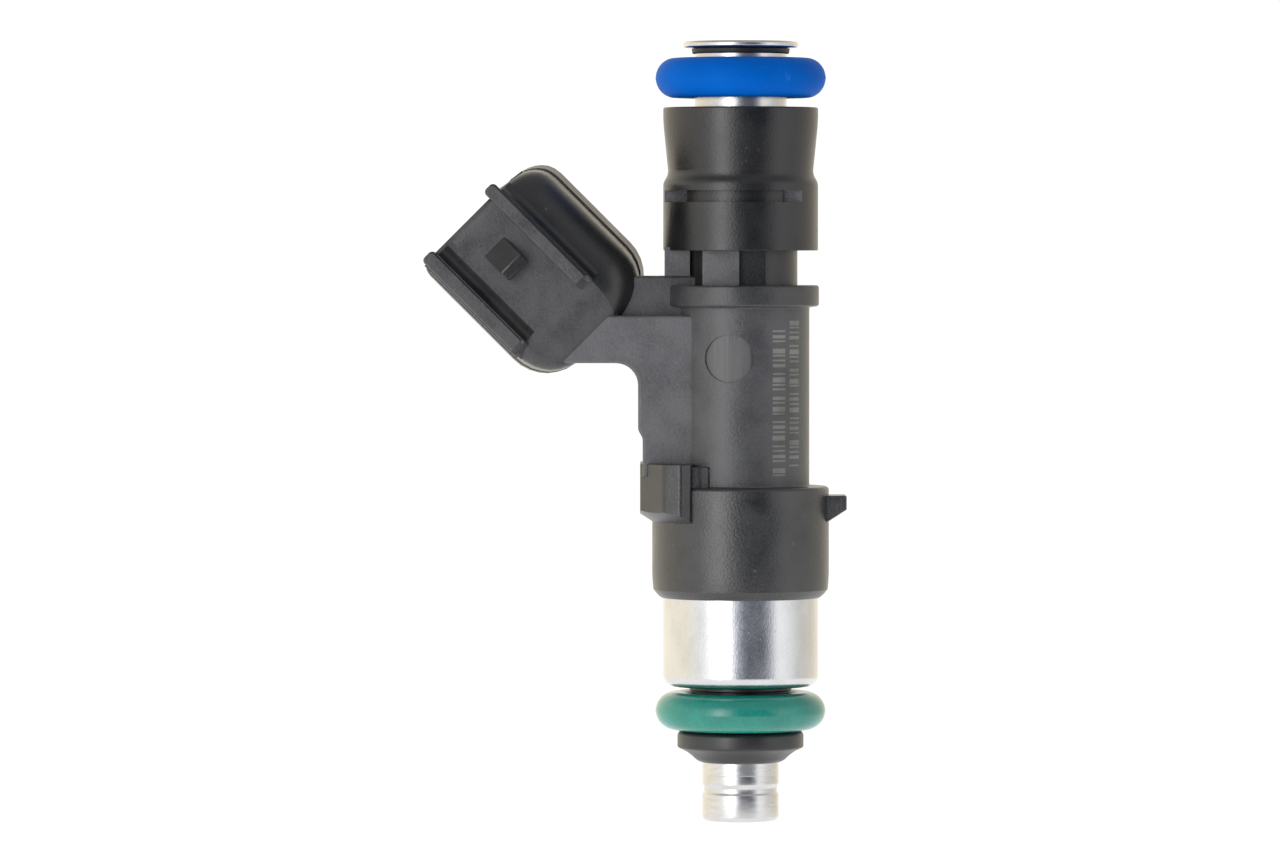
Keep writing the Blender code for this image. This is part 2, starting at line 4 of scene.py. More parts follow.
import bmesh
import bpy
from mathutils import Matrix, Vector

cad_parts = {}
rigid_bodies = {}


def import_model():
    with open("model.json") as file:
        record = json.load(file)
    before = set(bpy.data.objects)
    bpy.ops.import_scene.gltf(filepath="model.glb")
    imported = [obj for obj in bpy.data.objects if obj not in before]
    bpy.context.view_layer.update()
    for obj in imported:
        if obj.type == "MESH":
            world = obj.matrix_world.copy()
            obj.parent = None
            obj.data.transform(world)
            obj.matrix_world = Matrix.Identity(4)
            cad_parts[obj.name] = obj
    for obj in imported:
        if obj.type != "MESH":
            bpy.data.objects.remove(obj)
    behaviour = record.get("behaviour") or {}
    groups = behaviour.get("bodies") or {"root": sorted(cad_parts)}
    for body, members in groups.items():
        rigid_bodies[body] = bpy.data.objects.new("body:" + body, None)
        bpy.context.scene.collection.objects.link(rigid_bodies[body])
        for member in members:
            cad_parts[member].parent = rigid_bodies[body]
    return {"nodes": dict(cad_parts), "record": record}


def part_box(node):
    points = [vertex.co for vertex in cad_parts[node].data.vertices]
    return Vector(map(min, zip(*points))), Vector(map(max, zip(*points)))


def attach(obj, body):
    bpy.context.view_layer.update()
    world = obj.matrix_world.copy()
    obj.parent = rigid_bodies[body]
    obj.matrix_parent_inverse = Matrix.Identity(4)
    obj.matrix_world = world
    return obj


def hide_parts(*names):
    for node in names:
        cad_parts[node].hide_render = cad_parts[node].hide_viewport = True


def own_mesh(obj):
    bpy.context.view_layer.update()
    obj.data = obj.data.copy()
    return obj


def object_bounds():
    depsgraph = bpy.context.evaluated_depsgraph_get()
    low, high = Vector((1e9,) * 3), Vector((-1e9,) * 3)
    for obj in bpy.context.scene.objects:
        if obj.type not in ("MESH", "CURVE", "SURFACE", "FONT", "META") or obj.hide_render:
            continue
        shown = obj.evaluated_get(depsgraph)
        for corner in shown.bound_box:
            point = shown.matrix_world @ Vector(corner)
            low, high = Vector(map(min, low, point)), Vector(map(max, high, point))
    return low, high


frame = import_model()
cad_low, cad_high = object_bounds()
scene = bpy.context.scene

# Camera: level with the upper half of the injector and tipped a little down, far back with
# a long lens, so that the round body shows almost no perspective.
CAMERA_DISTANCE = 0.65
CAMERA_RISE = 0.0172
AIM_SHIFT = 0.0004
LENS = 213.8
middle = (cad_low + cad_high) / 2
camera = bpy.data.objects.new("camera", bpy.data.cameras.new("camera"))
scene.collection.objects.link(camera)
scene.camera = camera
camera.data.lens = LENS
camera.data.clip_start = 0.02
camera.data.clip_end = 20.0
camera.location = middle + Vector((AIM_SHIFT, -CAMERA_DISTANCE, CAMERA_RISE))
aim = middle + Vector((AIM_SHIFT, 0.0, AIM_SHIFT))
camera.rotation_euler = (aim - camera.location).to_track_quat("-Z", "Y").to_euler()
scene.view_settings.view_transform = "Standard"

# Studio: a plain white floor a little below the nozzle and a soft white surround that is
# lit all the way round, with a darker gap in front where the camera stands.
FLOOR_RADIUS = 0.2
FLOOR_DROP = 0.03
FLOOR_GLOW = 0.75
floor_mesh = bmesh.new()
bmesh.ops.create_circle(floor_mesh, cap_ends=True, segments=96, radius=FLOOR_RADIUS)
bmesh.ops.translate(floor_mesh, verts=floor_mesh.verts, vec=(0, 0, cad_low.z - FLOOR_DROP))
floor = bpy.data.objects.new("floor", bpy.data.meshes.new("floor"))
floor_mesh.to_mesh(floor.data)
floor_mesh.free()
scene.collection.objects.link(floor)
paper = bpy.data.materials.new("white_floor")
paper.use_nodes = True
paper_shader = paper.node_tree.nodes["Principled BSDF"]
paper_shader.inputs["Base Color"].default_value = (0.6, 0.6, 0.6, 1)
paper_shader.inputs["Roughness"].default_value = 0.9
paper_shader.inputs["Emission Color"].default_value = (1, 1, 1, 1)
paper_shader.inputs["Emission Strength"].default_value = FLOOR_GLOW
floor.data.materials.append(paper)


def ramp(tree, stops, smooth=False):
    """A colour ramp from (position, grey or colour) stops."""
    made = tree.nodes.new("ShaderNodeValToRGB")
    made.color_ramp.interpolation = "EASE" if smooth else "LINEAR"
    elements = made.color_ramp.elements
    while len(elements) < len(stops):
        elements.new(0.5)
    for element, (position, colour) in zip(elements, stops):
        element.position = position
        element.color = (*colour, 1) if isinstance(colour, tuple) else (colour, colour, colour, 1)
    return made


# brightness and tint of the surround by the angle from the camera's side, positive to the right, in degrees
COOL = (0.84, 0.91, 1.1)
PLAIN = (1.0, 1.0, 1.0)
WARM = (1.08, 1.0, 0.84)
SURROUND = [
    (-90, 1.1, WARM), (-62, 1.1, PLAIN), (-44, 1.6, PLAIN), (-31, 4.4, PLAIN), (-18, 2.2, PLAIN),
    (-7, 0.5, COOL), (4, 0.19, COOL), (31, 0.13, COOL), (42, 0.4, COOL), (55, 1.3, PLAIN),
    (71, 1.1, PLAIN), (90, 0.8, PLAIN), (126, 0.8, WARM), (150, 1.0, WARM), (180, 1.2, WARM),
    (270, 1.1, WARM),
]
SURROUND_PEAK = 4.4
OVERHEAD = (0.1, 0.1, 0.105, 1)
BACKDROP = 1.05
world = bpy.data.worlds.new("surround")
scene.world = world
world.use_nodes = True
sky = world.node_tree
sky.nodes.clear()
direction = sky.nodes.new("ShaderNodeTexCoord")
around = sky.nodes.new("ShaderNodeTexGradient")
around.gradient_type = "RADIAL"
ring = ramp(sky, [
    (angle / 360 + 0.25, tuple(brightness / SURROUND_PEAK * channel for channel in tint))
    for angle, brightness, tint in SURROUND
])
height = sky.nodes.new("ShaderNodeSeparateXYZ")
upward = ramp(sky, [(0.3, 0.0), (0.75, 1.0)], smooth=True)
blend = sky.nodes.new("ShaderNodeMix")
blend.data_type = "RGBA"
blend.inputs["B"].default_value = OVERHEAD
lit = sky.nodes.new("ShaderNodeBackground")
lit.inputs["Strength"].default_value = SURROUND_PEAK
backdrop = sky.nodes.new("ShaderNodeBackground")
backdrop.inputs["Color"].default_value = (1, 1, 1, 1)
backdrop.inputs["Strength"].default_value = BACKDROP
rays = sky.nodes.new("ShaderNodeLightPath")
choose = sky.nodes.new("ShaderNodeMixShader")
output = sky.nodes.new("ShaderNodeOutputWorld")
sky.links.new(direction.outputs["Generated"], around.inputs["Vector"])
sky.links.new(direction.outputs["Generated"], height.inputs["Vector"])
sky.links.new(around.outputs["Fac"], ring.inputs["Fac"])
sky.links.new(height.outputs["Z"], upward.inputs["Fac"])
sky.links.new(upward.outputs["Color"], blend.inputs["Factor"])
sky.links.new(ring.outputs["Color"], blend.inputs["A"])
sky.links.new(blend.outputs["Result"], lit.inputs["Color"])
sky.links.new(rays.outputs["Is Camera Ray"], choose.inputs["Fac"])
sky.links.new(lit.outputs["Background"], choose.inputs[1])
sky.links.new(backdrop.outputs["Background"], choose.inputs[2])
sky.links.new(choose.outputs["Shader"], output.inputs["Surface"])


# Inlet tube. Drawn stainless tube that carries the fuel down through the moulding, with a
# rolled flange at its top. Turned marks run round it.
def limits(node):
    """The lowest and highest corners of a CAD node, in mm."""
    low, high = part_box(node)
    return low * 1000, high * 1000


def drawn(outline, put, segments):
    """A flat face from an outline of (u, v) or (u, v, rounding) in mm; put says where a (u, v) lies."""
    shape = bmesh.new()
    corners = [shape.verts.new(put(point[0], point[1])) for point in outline]
    shape.faces.new(corners)
    for corner, point in zip(corners, outline):
        if len(point) == 3:
            bmesh.ops.bevel(
                shape, geom=[corner], offset=point[2], offset_type="OFFSET", affect="VERTICES",
                segments=segments, profile=0.5, material=-1, clamp_overlap=True,
            )
    return shape


def spun(shape, steps):
    """Turns a section once round the upright axis and closes it into a body."""
    bmesh.ops.spin(
        shape, geom=shape.verts[:] + shape.edges[:], axis=(0, 0, 1), cent=(0, 0, 0),
        steps=steps, angle=math.tau, use_merge=True,
    )
    bmesh.ops.remove_doubles(shape, verts=shape.verts, dist=1e-4)
    bmesh.ops.recalc_face_normals(shape, faces=shape.faces)
    return shape


def turned(profile, steps=144, phase=0.0):
    """A body of revolution from a half section of (radius, height) or (radius, height, rounding) in mm."""
    shape = drawn(profile, lambda radius, height: (radius, 0, height), 5)
    bmesh.ops.delete(shape, geom=shape.faces[:], context="FACES_ONLY")
    on_axis = [edge for edge in shape.edges if all(abs(vert.co.x) < 1e-6 for vert in edge.verts)]
    bmesh.ops.delete(shape, geom=on_axis, context="EDGES")
    spun(shape, steps)
    bmesh.ops.rotate(shape, verts=shape.verts, cent=(0, 0, 0), matrix=Matrix.Rotation(phase, 3, "Z"))
    return shape


def solid(name, shape, material, sharp=32):
    """The object of a shape in mm, smooth except at edges that turn by more than sharp degrees."""
    bmesh.ops.scale(shape, verts=shape.verts, vec=(0.001, 0.001, 0.001))
    mesh = bpy.data.meshes.new(name)
    shape.to_mesh(mesh)
    shape.free()
    piece = bpy.data.objects.new(name, mesh)
    scene.collection.objects.link(piece)
    mesh.materials.append(material)
    mesh.polygons.foreach_set("use_smooth", [True] * len(mesh.polygons))
    mesh.set_sharp_from_angle(angle=math.radians(sharp))
    return piece


def stand_in(piece, node):
    """Evens a finished piece's normals and puts it on the injector's body in a CAD node's place."""
    even = piece.modifiers.new("even_normals", "WEIGHTED_NORMAL")
    even.keep_sharp = True
    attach(piece, "injector")
    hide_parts(node)
    return piece


def noise(tree, place, size, detail, roughness=0.5):
    """The value of a noise pattern whose marks are about a size in mm."""
    made = tree.nodes.new("ShaderNodeTexNoise")
    made.inputs["Scale"].default_value = 1000 / size
    made.inputs["Detail"].default_value = detail
    made.inputs["Roughness"].default_value = roughness
    tree.links.new(place, made.inputs["Vector"])
    return made.outputs["Fac"]


def multiply_add(tree, value, factor, added):
    """A value times a factor, plus another value."""
    made = tree.nodes.new("ShaderNodeMath")
    made.operation = "MULTIPLY_ADD"
    made.inputs[1].default_value = factor
    tree.links.new(value, made.inputs[0])
    tree.links.new(added, made.inputs[2])
    return made.outputs["Value"]


def surface(
    name, dark, light, roughness, metallic=0.0, patch=2.5, grain=0.12, depth=0.006,
    stretch=(1, 1, 1), ior=1.5, wear=0.3, scuff=(0.16, 0.16, 0.165), scuff_size=1.4,
):
    """A finish whose colour and roughness drift in patches over a fine grain, with scuffs; sizes in mm."""
    material = bpy.data.materials.new(name)
    material.use_nodes = True
    tree = material.node_tree
    shader = tree.nodes["Principled BSDF"]
    shader.inputs["Metallic"].default_value = metallic
    shader.inputs["IOR"].default_value = ior
    coordinates = tree.nodes.new("ShaderNodeTexCoord")
    mapping = tree.nodes.new("ShaderNodeMapping")
    mapping.inputs["Scale"].default_value = stretch
    tree.links.new(coordinates.outputs["Object"], mapping.inputs["Vector"])
    place = mapping.outputs["Vector"]
    specks = noise(tree, place, grain, 2)
    mottle = multiply_add(tree, specks, 0.5, noise(tree, place, patch, 4))

    # colour: dark to light with the mottle, and the scuffs' own colour in the few worn spots
    colours = ramp(tree, [(0.45, dark), (0.87, light)])
    spots = ramp(tree, [(0.66, 0.0), (0.7, wear)])
    worn = tree.nodes.new("ShaderNodeMix")
    worn.data_type = "RGBA"
    worn.inputs["B"].default_value = (*scuff, 1)
    tree.links.new(mottle, colours.inputs["Fac"])
    tree.links.new(noise(tree, place, scuff_size, 5, 0.7), spots.inputs["Fac"])
    tree.links.new(spots.outputs["Color"], worn.inputs["Factor"])
    tree.links.new(colours.outputs["Color"], worn.inputs["A"])
    tree.links.new(worn.outputs["Result"], shader.inputs["Base Color"])

    # roughness: from its lower to its upper value with the mottle, and more in the worn spots
    rough = tree.nodes.new("ShaderNodeMapRange")
    rough.inputs["From Min"].default_value = 0.35
    rough.inputs["From Max"].default_value = 0.85
    rough.inputs["To Min"].default_value = roughness[0]
    rough.inputs["To Max"].default_value = roughness[1]
    tree.links.new(mottle, rough.inputs["Value"])
    rougher = multiply_add(tree, spots.outputs["Color"], 0.8, rough.outputs["Result"])
    tree.links.new(rougher, shader.inputs["Roughness"])

    # relief: the grain
    bump = tree.nodes.new("ShaderNodeBump")
    bump.inputs["Distance"].default_value = depth / 1000
    bump.inputs["Strength"].default_value = 1.0
    tree.links.new(specks, bump.inputs["Height"])
    tree.links.new(bump.outputs["Normal"], shader.inputs["Normal"])
    return material


def shown(node, shape, material, sharp=32):
    """A finished piece made straight from its shape, in the place of the CAD node it is named for."""
    return stand_in(solid(node, shape, material, sharp), node)


MOUTH_R = 3.53
TUBE_BORE_R = 2.87
NECK_R = 3.93
WAIST_R = 3.27
TOP_FLANGE = 0.56
tube_low, tube_high = limits("inlet_tube")
tube_steel = surface(
    "drawn_steel", (0.585, 0.58, 0.57), (0.685, 0.68, 0.67), (0.16, 0.26), metallic=1.0,
    patch=1.2, grain=0.05, depth=0.0012, stretch=(1, 1, 4),
)
shown(
    "inlet_tube",
    turned([
        (MOUTH_R, tube_high.z, 0.12),
        (tube_high.x, tube_high.z, 0.26),
        (tube_high.x, tube_high.z - TOP_FLANGE, 0.22),
        (NECK_R, tube_high.z - TOP_FLANGE, 0.1),
        (NECK_R, 54.1, 0.4),
        (WAIST_R, 52.6, 0.4),
        (WAIST_R, tube_low.z),
        (TUBE_BORE_R, tube_low.z),
        (TUBE_BORE_R, 52.5, 0.4),
        (MOUTH_R, 54.0, 0.4),
    ]),
    tube_steel,
)

# Support ring. Moulded black cone clipped on the neck under the flange, which keeps the
# blue seal off the metal edge.
ring_low, ring_high = limits("upper_support_ring")
shown(
    "upper_support_ring",
    turned([
        (NECK_R + 0.03, ring_high.z),
        (ring_high.x, ring_high.z, 0.06),
        (ring_high.x - 0.07, ring_low.z, 0.1),
        (NECK_R + 0.03, ring_low.z),
    ]),
    surface("support_ring_plastic", (0.008, 0.008, 0.01), (0.03, 0.03, 0.033), (0.35, 0.55)),
)


# Seals. Two moulded fluorocarbon O-rings, blue to the fuel rail and green to the manifold,
# each with the faint seam where its mould closed.
def seal(node, bore_r, material):
    """A seal whose round section fills its CAD node's box, with a low ridge round its outside."""
    ridge = 0.02
    low, high = limits(node)
    half = (high.x - ridge - bore_r) / 2
    shape = bmesh.new()
    bmesh.ops.create_circle(shape, cap_ends=False, segments=40, radius=1)
    bmesh.ops.rotate(shape, verts=shape.verts, cent=(0, 0, 0), matrix=Matrix.Rotation(math.pi / 2, 3, "X"))
    bmesh.ops.scale(shape, verts=shape.verts, vec=(half, 1, (high.z - low.z) / 2))
    for vert in shape.verts:
        if abs(vert.co.z) < 1e-4 and vert.co.x > 0:
            vert.co.x += ridge
    bmesh.ops.translate(shape, verts=shape.verts, vec=(bore_r + half, 0, (low.z + high.z) / 2))
    return shown(node, spun(shape, 160), material, sharp=60)


blue_seal = surface(
    "blue_seal", (0.0, 0.095, 0.46), (0.0, 0.12, 0.55), (0.4, 0.55), patch=4, grain=0.2, depth=0.002,
    ior=1.12, scuff=(0.05, 0.2, 0.6),
)
green_seal = surface(
    "green_seal", (0.006, 0.19, 0.145), (0.012, 0.27, 0.21), (0.08, 0.2), patch=4, grain=0.3, depth=0.0008,
    ior=1.6, scuff=(0.2, 0.5, 0.4),
)
seal("upper_o_ring", 3.98, blue_seal)
seal("lower_o_ring", 3.92, green_seal)

# Moulding. One shot of black glass-filled nylon over the tube, coil and can: collar, clip
# ring, flange, barrel, web and connector shroud, cable block, cup and a small lug.
moulded = {
    "marked": surface(
        "laser_marked", (0.11, 0.108, 0.1), (0.22, 0.215, 0.2), (0.5, 0.65), grain=0.1, depth=0.01,
    ),
    "ground": surface(
        "ground_gate", (0.03, 0.03, 0.031), (0.1, 0.1, 0.104), (0.3, 0.45), ior=1.6,
        patch=0.6, grain=0.12, depth=0.012, stretch=(1, 1, 0.03),
    ),
}
for finish, dark, light, roughness, ior, grain, depth in (
    ("smooth", (0.002, 0.002, 0.003), (0.010, 0.010, 0.011), (0.24, 0.34), 1.6, 0.18, 0.016),
    ("flange", (0.017, 0.017, 0.019), (0.043, 0.043, 0.046), (0.28, 0.4), 1.6, 0.18, 0.024),
    ("barrel", (0.036, 0.036, 0.039), (0.07, 0.07, 0.075), (0.3, 0.42), 1.6, 0.18, 0.03),
    ("web", (0.058, 0.058, 0.063), (0.115, 0.115, 0.123), (0.4, 0.55), 1.6, 0.24, 0.035),
    # the strut's finish is the web's finish with a darker colour: painted shade on the strut, which sits
    # back behind the web and the connector
    ("strut", (0.026, 0.026, 0.029), (0.068, 0.068, 0.073), (0.4, 0.55), 1.6, 0.24, 0.035),
    ("shroud", (0.006, 0.006, 0.006), (0.014, 0.014, 0.014), (0.26, 0.38), 1.6, 0.22, 0.008),
    ("cup", (0.006, 0.006, 0.007), (0.026, 0.026, 0.028), (0.24, 0.36), 1.7, 0.19, 0.026),
):
    moulded[finish] = surface(
        f"moulded_{finish}", dark, light, roughness, ior=ior, grain=grain, depth=depth,
    )
outer_r = {"collar": 6.62, "waist": 6.17, "recess": 4.86, "flange": 6.7, "barrel": 5.88, "cup": 7.56}
COLLAR_TOP = 60.48
CLIP_RING_BOTTOM = 48.26
FLANGE_TOP = 45.3
FLANGE_BOTTOM = 43.52
CUP_TOP = 28.12
CUP_BOTTOM = 18.6
# round cutters are turned by a hair, so that their facets never lie on those of the moulding
CUTTER_TWIST = 0.01


def tool(name, shape, finish):
    """A part of the moulding, or a cutter, before it is fused: its faces carry their own finish."""
    return solid(name, shape, moulded[finish])


def fuse(target, part, operation="UNION"):
    """Joins a part to a target, or cuts it out."""
    step = target.modifiers.new(part.name, "BOOLEAN")
    step.operation = operation
    step.solver = "EXACT"
    step.material_mode = "TRANSFER"
    step.object = part


def slab(outline, low, high, place, ease=0.0):
    """A slab from an outline of (u, v) or (u, v, rounding), extruded from low to high, its rims eased."""
    shape = drawn(outline, lambda u, v: (u, v, low), 8)
    grown = bmesh.ops.extrude_face_region(shape, geom=shape.faces[:])
    top = [item for item in grown["geom"] if isinstance(item, bmesh.types.BMVert)]
    bmesh.ops.translate(shape, verts=top, vec=(0, 0, high - low))
    if ease:
        rims = [edge for edge in shape.edges if abs(edge.verts[0].co.z - edge.verts[1].co.z) < 1e-6]
        bmesh.ops.bevel(
            shape, geom=rims, offset=ease, offset_type="OFFSET", affect="EDGES",
            segments=3, profile=0.5, material=-1, clamp_overlap=True,
        )
    bmesh.ops.transform(shape, verts=shape.verts, matrix=place)
    bmesh.ops.recalc_face_normals(shape, faces=shape.faces)
    return shape


def axes(origin, u, v, w):
    """The matrix that puts a slab's own u, v and w along three directions."""
    return Matrix.Translation(origin) @ Matrix((u, v, w)).transposed().to_4x4()


UPRIGHT = axes((0, 0, 0), (1, 0, 0), (0, 0, 1), (0, 1, 0))
LEVEL = Matrix.Identity(4)

moulding = tool(
    "overmould",
    turned([
        (0, COLLAR_TOP),
        (outer_r["collar"], COLLAR_TOP, 0.16),
        (outer_r["collar"], 59.2, 0.6),
        (outer_r["waist"], 54.76, 0.4),
        (outer_r["collar"], 54.07, 0.3),
        (outer_r["collar"], CLIP_RING_BOTTOM, 0.08),
        (outer_r["recess"], CLIP_RING_BOTTOM),
        (outer_r["recess"], FLANGE_TOP),
        (outer_r["flange"], FLANGE_TOP, 0.22),
        (outer_r["flange"], FLANGE_BOTTOM, 0.2),
        (outer_r["barrel"], FLANGE_BOTTOM - 0.12, 0.1),
        (outer_r["barrel"], CUP_TOP, 0.18),
        (outer_r["cup"], CUP_TOP, 0.34),
        (outer_r["cup"], 20.1, 1.0),
        (7.46, 19.3, 0.3),
        (7.1, 18.85, 0.2),
        (6.8, CUP_BOTTOM),
        (0, CUP_BOTTOM),
    ]),
    "smooth",
)
finishes = ("smooth", "flange", "barrel", "cup")
for finish in finishes[1:]:
    moulding.data.materials.append(moulded[finish])
for face in moulding.data.polygons:
    level = face.center.z * 1000
    if level <= CUP_TOP + 0.05:
        face.material_index = finishes.index("cup")
    elif level < FLANGE_BOTTOM:
        face.material_index = finishes.index("barrel")
    elif level < FLANGE_TOP:
        face.material_index = finishes.index("flange")

# web plate and the narrower strut above it
WEB_HALF_DEPTH = 4.1
STRUT_HALF_DEPTH = 2.9
parts = [
    tool("web", slab([
        (-3.0, 42.75), (-13.6, 42.75), (-17.6, 38.69), (-8.77, 38.69, 1.9), (-8.77, 33.0, 0.2),
        (-8.38, 32.3, 0.2), (-8.38, 29.0), (-3.0, 29.0),
    ], -WEB_HALF_DEPTH, WEB_HALF_DEPTH, UPRIGHT, 0.3), "web"),
    # the strut wears the darker copy of the web's finish, painted shade for its place set back behind the
    # web
    tool("strut", slab([
        (-3.0, 46.1), (-10.2, 46.1), (-13.0, 43.5), (-13.0, 42.0), (-3.0, 42.0),
    ], -STRUT_HALF_DEPTH, STRUT_HALF_DEPTH, UPRIGHT, 0.3), "strut"),
]

# cable block: a faceted lump on the cup's left, its underside and the lug's cut by one cone
block = tool("block", slab([
    (-8.6, -3.2, 0.15), (-6.6, -6.2, 0.3), (-5.2, -6.9, 0.2), (-4.3, -6.45, 0.15), (-4.05, -5.0),
    (-4.05, 5.0), (-4.3, 6.45, 0.15), (-5.2, 6.9, 0.2), (-6.6, 6.2, 0.3), (-8.6, 3.2, 0.15),
], 24.4, 30.15, LEVEL, 0.12), "cup")
lug = tool("lug", slab([
    (6.4, -1.9), (9.04, -1.9, 0.2), (9.04, 1.9, 0.2), (6.4, 1.9),
], 24.0, 27.35, LEVEL, 0.12), "cup")
undercut = tool("undercut", turned([
    (7.2, 23.5), (7.2, 24.87), (12, 28.0), (12, 23.5),
], phase=CUTTER_TWIST), "cup")
for part in (block, lug):
    fuse(part, undercut, "DIFFERENCE")
block_step = tool("block_step", slab([
    (-4.6, -5.75), (-3.5, -5.75, 0.2), (-2.7, -5.35, 0.2),
    (-2.7, 5.35, 0.2), (-3.5, 5.75, 0.2), (-4.6, 5.75),
], 27.7, 29.9, LEVEL, 0.1), "cup")
parts += [block, lug, block_step]

# clip ring: slot for the retaining clip, with flat stops at both ends, and the recess under the ring
SLOT_BOTTOM = 52.39
SLOT_TOP = 53.39
slot_cut = tool("clip_slot", turned([
    (5.75, SLOT_BOTTOM), (8, SLOT_BOTTOM), (8, SLOT_TOP), (5.75, SLOT_TOP),
], phase=CUTTER_TWIST), "smooth")
for name, low_x, high_x in (("slot_left", -9, -4.64), ("slot_right", 3.54, 9)):
    kept = tool(name, slab([
        (low_x, -9), (high_x, -9), (high_x, 9), (low_x, 9),
    ], 52, 54, LEVEL), "smooth")
    fuse(slot_cut, kept, "DIFFERENCE")
cutters = [slot_cut]
for side in (-1, 1):
    near, far = sorted((side * 1.25, side * 7.2))
    cutters.append(tool(f"slot_stop_left_{side}", slab([
        (-7.2, near), (-4.6, near), (-4.6, far), (-7.2, far),
    ], SLOT_BOTTOM, SLOT_TOP, LEVEL), "web"))
    near, far = sorted((side * 4.15, side * 7.2))
    cutters.append(tool(f"slot_stop_right_{side}", slab([
        (3.5, near), (6.2, near), (6.2, far), (3.5, far),
    ], SLOT_BOTTOM - 0.005, SLOT_TOP + 0.005, LEVEL), "web"))
    near, far = sorted((side * 4.45, side * 6.0))
    cutters.append(tool(f"recess_flat_{side}", slab([
        (-0.6, near), (3.97, near), (3.97, far), (-0.6, far),
    ], FLANGE_TOP + 0.03, CLIP_RING_BOTTOM - 0.03, LEVEL), "smooth"))
pads = [
    tool(name, slab(outline, FLANGE_TOP - 0.3, CLIP_RING_BOTTOM + 0.3, LEVEL), "web")
    for name, outline in (
        ("recess_block", [(-6.5, -2.6, 0.1), (-4.35, -2.6), (-4.35, 2.6), (-6.5, 2.6, 0.1)]),
        ("recess_pads", [(-3.3, -5.3, 0.06), (-0.18, -5.3, 0.06), (-0.18, 5.3, 0.06), (-3.3, 5.3, 0.06)]),
    )
]

# gate mark: the round pad left by the mould's gate, sunk by a hair and ground along the barrel's curve
GATE_R = 2.07
GATE_DEPTH = 0.16
gate = bmesh.new()
bmesh.ops.create_cone(gate, cap_ends=True, segments=72, radius1=GATE_R, radius2=GATE_R, depth=3.0)
gate_place = axes((-1.02, -5.9, 39.1), (1, 0, 0), (0, 0, 1), (0, 1, 0))
bmesh.ops.transform(gate, verts=gate.verts, matrix=gate_place)
bmesh.ops.recalc_face_normals(gate, faces=gate.faces)
gate_mark = tool("gate_mark", gate, "ground")
gate_floor_r = outer_r["barrel"] - GATE_DEPTH
gate_floor = tool("gate_curve", turned([
    (0, 36), (gate_floor_r, 36), (gate_floor_r, 42), (0, 42),
], phase=CUTTER_TWIST), "ground")
fuse(gate_mark, gate_floor, "DIFFERENCE")
cutters.append(gate_mark)

# laser marking: two columns of plain bars, burnt a hair deep into the barrel's right side
MARK_DEPTH = 0.015
bars = bmesh.new()
for column, (low_x, high_x, level, end) in enumerate(((2.65, 3.75, 29.2, 41.6), (4.1, 5.05, 30.0, 42.4))):
    count = 0
    while level < end:
        thick = (0.16, 0.42, 0.16, 0.28, 0.16)[(count + 2 * column) % 5]
        bar_size = Matrix.Diagonal((high_x - low_x, 3.4, thick, 1))
        bar_place = Matrix.Translation(((low_x + high_x) / 2, -4.9, level))
        bmesh.ops.create_cube(bars, size=1, matrix=bar_place @ bar_size)
        count += 1
        level += thick / 2 + (0.34, 0.3, 0.62, 0.3)[(count + column) % 4]
marks = tool("marks", bars, "marked")
mark_floor_r = outer_r["barrel"] - MARK_DEPTH
mark_floor = tool("mark_curve", turned([
    (0, 26), (mark_floor_r, 26), (mark_floor_r, 45), (0, 45),
], phase=CUTTER_TWIST), "marked")
fuse(marks, mark_floor, "DIFFERENCE")
cutters.append(marks)

# connector shroud in its own axes: along runs back from the mouth, across to the upper right
mount = next(row for row in frame["record"]["mounts"] if row["name"] == "connector_face")
mouth = Vector((mount["pos_m"][0], 0, mount["pos_m"][2])) * 1000
outward = Vector(mount["axis"])
across = Vector((-outward.x, 0, outward.z))
SHROUD = axes(mouth, -outward, across, Vector((0, 1, 0)))
ACROSS = axes(mouth, across, (0, 1, 0), -outward)
HALF_WIDTH = 7.0
HALF_DEPTH = 5.3
SHROUD_LENGTH = 15.1
# how far the section draws in along the shroud: distance back from the mouth, inset below, inset above
EASE = [
    (0.0, 0.6, 2.9), (0.16, 0.35, 2.3), (0.4, 0.15, 1.6), (0.67, 0.06, 1.1), (1.0, 0.0, 0.7),
    (1.46, 0.0, 0.32), (2.0, 0.0, 0.1), (2.7, 0.0, 0.0), (SHROUD_LENGTH - 4.0, 0.0, 0.0),
    (SHROUD_LENGTH - 3.2, 0.08, 0.08), (SHROUD_LENGTH - 2.4, 0.33, 0.33), (SHROUD_LENGTH - 1.7, 0.72, 0.72),
    (SHROUD_LENGTH - 1.1, 1.22, 1.22), (SHROUD_LENGTH - 0.6, 1.9, 1.9), (SHROUD_LENGTH - 0.22, 2.65, 2.65),
    (SHROUD_LENGTH, 3.6, 3.6),
]
# the share of the inset below that also comes off the half depth
DEPTH_SHARE = 0.8


